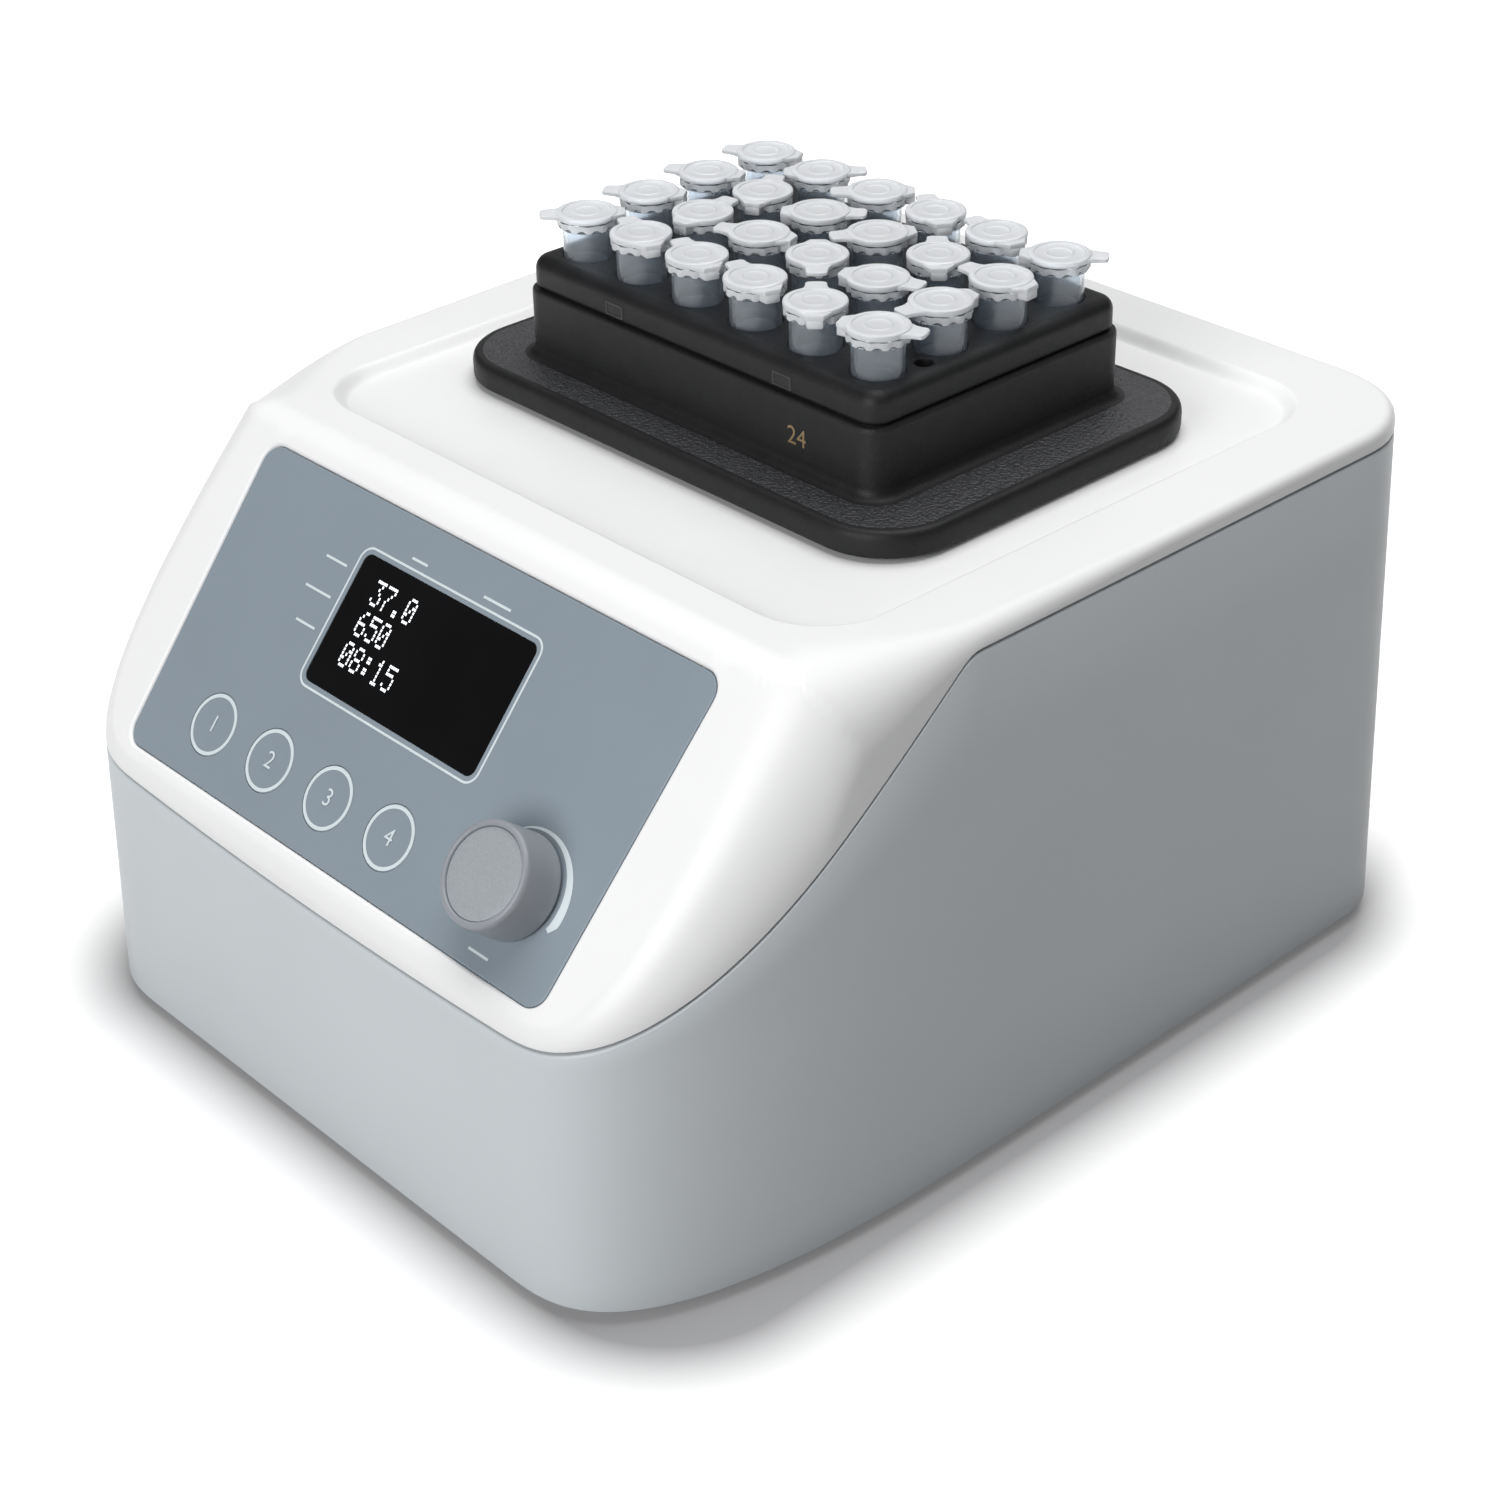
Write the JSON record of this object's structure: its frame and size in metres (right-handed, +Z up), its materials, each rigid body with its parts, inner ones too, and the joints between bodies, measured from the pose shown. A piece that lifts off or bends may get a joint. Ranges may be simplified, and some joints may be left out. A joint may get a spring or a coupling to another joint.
{
  "type": "thermal mixer",
  "caption": "Bench thermal mixer: a black heated block of capped sample tubes orbits on a white-topped grey housing with a sloping panel, display, round keys and knob.",
  "frame": {"origin": "on the table, under the middle of the housing", "axes": "+X to the right along the control panel, +Y from the panel to the back, +Z up"},
  "size_m": [0.2014, 0.236, 0.1618],
  "materials": {
    "shell_grey": "satin",
    "cover_white": "satin",
    "overlay_grey": "satin",
    "window_black": "gloss",
    "key_grey": "satin",
    "knob_grey": "satin",
    "knob_disc": "brushed",
    "block_black": "fine grain",
    "block_metal": "satin",
    "tube_clear": "frosted",
    "rubber_black": "matte",
    "board_green": "satin",
    "plate_steel": "brushed",
    "drive_steel": "turned",
    "inlet_black": "satin",
    "rotor_ivory": "satin"
  },
  "bodies": {
    "housing": {"base_housing": "shell_grey", "bottom_plate": "plate_steel", "rubber_feet": "rubber_black", "top_cover": "cover_white", "control_overlay": "overlay_grey", "display_window": "window_black", "display_module": "board_green", "control_board": "board_green", "encoder_body": "drive_steel", "main_board": "board_green", "power_supply": "board_green", "power_inlet": "inlet_black", "chassis_plate": "plate_steel", "chassis_standoffs": "plate_steel", "drive_motor": "drive_steel", "assembly_screws": "plate_steel"},
    "crank": {"drive_shaft": "drive_steel", "eccentric_hub": "drive_steel"},
    "carriage": {"carriage_plate": "plate_steel", "drive_bearing": "drive_steel", "heater_posts": "plate_steel", "heater_plate": "block_metal"},
    "idler_left": {"idler_left": "drive_steel"},
    "idler_right": {"idler_right": "drive_steel"},
    "block": {"block_core": "block_metal", "block_skirt": "block_black", "block_top": "block_black"},
    "encoder": {"encoder_rotor": "rotor_ivory"},
    "knob": {"encoder_shaft": "drive_steel", "control_knob": "knob_grey", "knob_cap": "knob_disc"},
    "rocker": {"power_rocker": "inlet_black"},
    "key_1": {"key_1": "key_grey"},
    "key_2": {"key_2": "key_grey"},
    "key_3": {"key_3": "key_grey"},
    "key_4": {"key_4": "key_grey"},
    "tube_01": {"tube_01": "tube_clear"},
    "tube_02": {"tube_02": "tube_clear"},
    "tube_03": {"tube_03": "tube_clear"},
    "tube_04": {"tube_04": "tube_clear"},
    "tube_05": {"tube_05": "tube_clear"},
    "tube_06": {"tube_06": "tube_clear"},
    "tube_07": {"tube_07": "tube_clear"},
    "tube_08": {"tube_08": "tube_clear"},
    "tube_09": {"tube_09": "tube_clear"},
    "tube_10": {"tube_10": "tube_clear"},
    "tube_11": {"tube_11": "tube_clear"},
    "tube_12": {"tube_12": "tube_clear"},
    "tube_13": {"tube_13": "tube_clear"},
    "tube_14": {"tube_14": "tube_clear"},
    "tube_15": {"tube_15": "tube_clear"},
    "tube_16": {"tube_16": "tube_clear"},
    "tube_17": {"tube_17": "tube_clear"},
    "tube_18": {"tube_18": "tube_clear"},
    "tube_19": {"tube_19": "tube_clear"},
    "tube_20": {"tube_20": "tube_clear"},
    "tube_21": {"tube_21": "tube_clear"},
    "tube_22": {"tube_22": "tube_clear"},
    "tube_23": {"tube_23": "tube_clear"},
    "tube_24": {"tube_24": "tube_clear"}
  },
  "joints": [
    {"name": "crank_turn", "type": "hinge", "parent": "housing", "child": "crank", "pos_m": [0, 0.0266, 0.07], "axis": [0, 0, 1], "continuous": true},
    {"name": "carriage_hold", "type": "hinge", "parent": "crank", "child": "carriage", "pos_m": [0, 0.0281, 0.097], "axis": [0, 0, 1], "continuous": true},
    {"name": "idler_left_turn", "type": "hinge", "parent": "housing", "child": "idler_left", "pos_m": [-0.042, 0.0026, 0.08], "axis": [0, 0, 1], "continuous": true},
    {"name": "idler_right_turn", "type": "hinge", "parent": "housing", "child": "idler_right", "pos_m": [0.042, 0.0026, 0.08], "axis": [0, 0, 1], "continuous": true},
    {"name": "block_lift", "type": "slide", "parent": "carriage", "child": "block", "axis": [0, 0, 1], "range_m": [0, 0.06]},
    {"name": "encoder_turn", "type": "hinge", "parent": "housing", "child": "encoder", "pos_m": [0.0505, -0.09976, 0.0809], "axis": [0, -0.7593, 0.6508], "continuous": true},
    {"name": "knob_push", "type": "slide", "parent": "encoder", "child": "knob", "axis": [0, 0.7593, -0.6508], "range_m": [0, 0.0005], "stiffness_N_per_m": 500, "springref_m": -0.002},
    {"name": "rocker_tip", "type": "hinge", "parent": "housing", "child": "rocker", "pos_m": [0.066, 0.1139, 0.031], "axis": [1, 0, 0], "range_deg": [-20, 0]},
    {"name": "key_1_push", "type": "slide", "parent": "housing", "child": "key_1", "axis": [0, 0.7593, -0.6508], "range_m": [0, 0.00035], "stiffness_N_per_m": 400, "springref_m": -0.001},
    {"name": "key_2_push", "type": "slide", "parent": "housing", "child": "key_2", "axis": [0, 0.7593, -0.6508], "range_m": [0, 0.00035], "stiffness_N_per_m": 400, "springref_m": -0.001},
    {"name": "key_3_push", "type": "slide", "parent": "housing", "child": "key_3", "axis": [0, 0.7593, -0.6508], "range_m": [0, 0.00035], "stiffness_N_per_m": 400, "springref_m": -0.001},
    {"name": "key_4_push", "type": "slide", "parent": "housing", "child": "key_4", "axis": [0, 0.7593, -0.6508], "range_m": [0, 0.00035], "stiffness_N_per_m": 400, "springref_m": -0.001},
    {"name": "tube_01_lift", "type": "slide", "parent": "block", "child": "tube_01", "axis": [0, 0, 1], "range_m": [0, 0.045]},
    {"name": "tube_02_lift", "type": "slide", "parent": "block", "child": "tube_02", "axis": [0, 0, 1], "range_m": [0, 0.045]},
    {"name": "tube_03_lift", "type": "slide", "parent": "block", "child": "tube_03", "axis": [0, 0, 1], "range_m": [0, 0.045]},
    {"name": "tube_04_lift", "type": "slide", "parent": "block", "child": "tube_04", "axis": [0, 0, 1], "range_m": [0, 0.045]},
    {"name": "tube_05_lift", "type": "slide", "parent": "block", "child": "tube_05", "axis": [0, 0, 1], "range_m": [0, 0.045]},
    {"name": "tube_06_lift", "type": "slide", "parent": "block", "child": "tube_06", "axis": [0, 0, 1], "range_m": [0, 0.045]},
    {"name": "tube_07_lift", "type": "slide", "parent": "block", "child": "tube_07", "axis": [0, 0, 1], "range_m": [0, 0.045]},
    {"name": "tube_08_lift", "type": "slide", "parent": "block", "child": "tube_08", "axis": [0, 0, 1], "range_m": [0, 0.045]},
    {"name": "tube_09_lift", "type": "slide", "parent": "block", "child": "tube_09", "axis": [0, 0, 1], "range_m": [0, 0.045]},
    {"name": "tube_10_lift", "type": "slide", "parent": "block", "child": "tube_10", "axis": [0, 0, 1], "range_m": [0, 0.045]},
    {"name": "tube_11_lift", "type": "slide", "parent": "block", "child": "tube_11", "axis": [0, 0, 1], "range_m": [0, 0.045]},
    {"name": "tube_12_lift", "type": "slide", "parent": "block", "child": "tube_12", "axis": [0, 0, 1], "range_m": [0, 0.045]},
    {"name": "tube_13_lift", "type": "slide", "parent": "block", "child": "tube_13", "axis": [0, 0, 1], "range_m": [0, 0.045]},
    {"name": "tube_14_lift", "type": "slide", "parent": "block", "child": "tube_14", "axis": [0, 0, 1], "range_m": [0, 0.045]},
    {"name": "tube_15_lift", "type": "slide", "parent": "block", "child": "tube_15", "axis": [0, 0, 1], "range_m": [0, 0.045]},
    {"name": "tube_16_lift", "type": "slide", "parent": "block", "child": "tube_16", "axis": [0, 0, 1], "range_m": [0, 0.045]},
    {"name": "tube_17_lift", "type": "slide", "parent": "block", "child": "tube_17", "axis": [0, 0, 1], "range_m": [0, 0.045]},
    {"name": "tube_18_lift", "type": "slide", "parent": "block", "child": "tube_18", "axis": [0, 0, 1], "range_m": [0, 0.045]},
    {"name": "tube_19_lift", "type": "slide", "parent": "block", "child": "tube_19", "axis": [0, 0, 1], "range_m": [0, 0.045]},
    {"name": "tube_20_lift", "type": "slide", "parent": "block", "child": "tube_20", "axis": [0, 0, 1], "range_m": [0, 0.045]},
    {"name": "tube_21_lift", "type": "slide", "parent": "block", "child": "tube_21", "axis": [0, 0, 1], "range_m": [0, 0.045]},
    {"name": "tube_22_lift", "type": "slide", "parent": "block", "child": "tube_22", "axis": [0, 0, 1], "range_m": [0, 0.045]},
    {"name": "tube_23_lift", "type": "slide", "parent": "block", "child": "tube_23", "axis": [0, 0, 1], "range_m": [0, 0.045]},
    {"name": "tube_24_lift", "type": "slide", "parent": "block", "child": "tube_24", "axis": [0, 0, 1], "range_m": [0, 0.045]}
  ],
  "couplings": [
    {"joint": "crank_turn", "follows": "carriage_hold", "ratio": -1},
    {"joint": "idler_left_turn", "follows": "carriage_hold", "ratio": -1},
    {"joint": "idler_right_turn", "follows": "carriage_hold", "ratio": -1}
  ]
}
